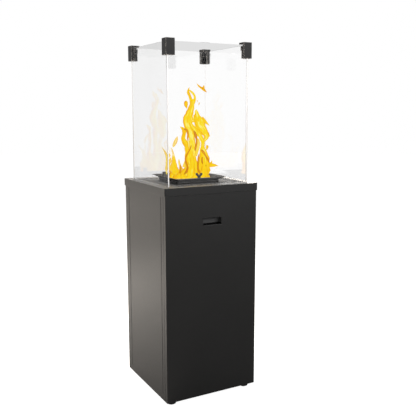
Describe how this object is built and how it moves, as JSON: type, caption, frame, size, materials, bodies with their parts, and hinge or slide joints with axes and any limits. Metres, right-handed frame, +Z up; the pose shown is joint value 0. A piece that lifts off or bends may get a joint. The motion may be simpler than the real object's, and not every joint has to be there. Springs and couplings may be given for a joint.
{
  "type": "outdoor heater",
  "caption": "Free-standing gas patio heater: a square black steel cabinet with a front door, a burner tray on top and a clear glass wind guard held by corner clips.",
  "frame": {"origin": "on the floor, below the middle of the square cabinet", "axes": "+Z up, -Y out of the door, +X to the right as seen from the front"},
  "size_m": [0.4, 0.4, 1.3825],
  "materials": {
    "powder_coat": "satin black powder coat with a fine texture",
    "clip_coat": "satin dark grey coat, paler where the edges wear",
    "heatproof_coat": "matt black heatproof coat",
    "zinc_steel": "zinc-plated sheet steel",
    "stainless": "brushed stainless steel, heat-tinted on the burner",
    "brass": "turned brass",
    "copper": "drawn copper tube",
    "cylinder_paint": "gloss blue-grey paint",
    "regulator_alloy": "die-cast alloy",
    "black_plastic": "moulded black plastic",
    "red_plastic": "moulded red plastic",
    "rubber": "moulded black rubber",
    "hose_rubber": "smooth orange gas hose",
    "ceramic": "white insulator",
    "glass": "clear tempered glass"
  },
  "bodies": {
    "cabinet": {"bottom_pan": "powder_coat", "burner_plate": "stainless", "burner_tray": "heatproof_coat", "cap_plate": "powder_coat", "control_panel": "powder_coat", "control_valve": "regulator_alloy", "cylinder_foot_ring": "cylinder_paint", "cylinder_guard": "cylinder_paint", "cylinder_valve": "brass", "flame_guide": "heatproof_coat", "foot_front_left": "rubber", "foot_front_right": "rubber", "foot_rear_left": "rubber", "foot_rear_right": "rubber", "front_header": "powder_coat", "gas_cylinder": "cylinder_paint", "gas_hose": "hose_rubber", "gas_injector": "brass", "glass_clamp_front_left": "clip_coat", "glass_clamp_front_right": "clip_coat", "glass_clamp_rear_left": "clip_coat", "glass_clamp_rear_right": "clip_coat", "glass_clip_front_left": "clip_coat", "glass_clip_front_right": "clip_coat", "glass_clip_rear_left": "clip_coat", "glass_clip_rear_right": "clip_coat", "glass_front": "glass", "glass_left": "glass", "glass_rear": "glass", "glass_right": "glass", "heat_shield": "zinc_steel", "hinge_lower_frame_leaf": "zinc_steel", "hinge_lower_pin": "stainless", "hinge_upper_frame_leaf": "zinc_steel", "hinge_upper_pin": "stainless", "hose_clip_lower": "zinc_steel", "hose_clip_upper": "zinc_steel", "igniter_body": "black_plastic", "ignition_electrode": "ceramic", "magnet_catch": "black_plastic", "mixing_tube": "stainless", "pilot_gas_tube": "copper", "pilot_hood": "heatproof_coat", "rear_panel": "powder_coat", "regulator": "regulator_alloy", "regulator_nut": "brass", "side_panel_left": "powder_coat", "side_panel_right": "powder_coat", "supply_pipe": "copper", "thermocouple": "copper", "tilt_switch": "black_plastic"},
    "door": {"front_door": "powder_coat", "finger_cup": "black_plastic", "catch_plate": "zinc_steel", "hinge_lower_door_leaf": "zinc_steel", "hinge_upper_door_leaf": "zinc_steel"},
    "knob_slider": {"knob_collar": "brass"},
    "knob": {"control_knob": "black_plastic"},
    "igniter": {"igniter_button": "red_plastic"},
    "handwheel": {"cylinder_handwheel": "black_plastic"}
  },
  "joints": [
    {"name": "door_hinge", "type": "hinge", "parent": "cabinet", "child": "door", "pos_m": [0.1968, -0.1785, 0.41], "axis": [0, 0, 1], "range_deg": [0, 110]},
    {"name": "knob_press", "type": "slide", "parent": "cabinet", "child": "knob_slider", "axis": [0, 1, 0], "range_m": [0, 0.005], "stiffness_N_per_m": 400, "springref_m": -0.002},
    {"name": "knob_turn", "type": "hinge", "parent": "knob_slider", "child": "knob", "pos_m": [-0.078, -0.165, 0.752], "axis": [0, -1, 0], "range_deg": [-180, 90]},
    {"name": "igniter_press", "type": "slide", "parent": "cabinet", "child": "igniter", "axis": [0, 1, 0], "range_m": [0, 0.006], "stiffness_N_per_m": 800, "springref_m": -0.002},
    {"name": "handwheel_turn", "type": "hinge", "parent": "cabinet", "child": "handwheel", "pos_m": [0, 0.018, 0.5865], "axis": [0, 0, 1], "range_deg": [-540, 0]}
  ]
}
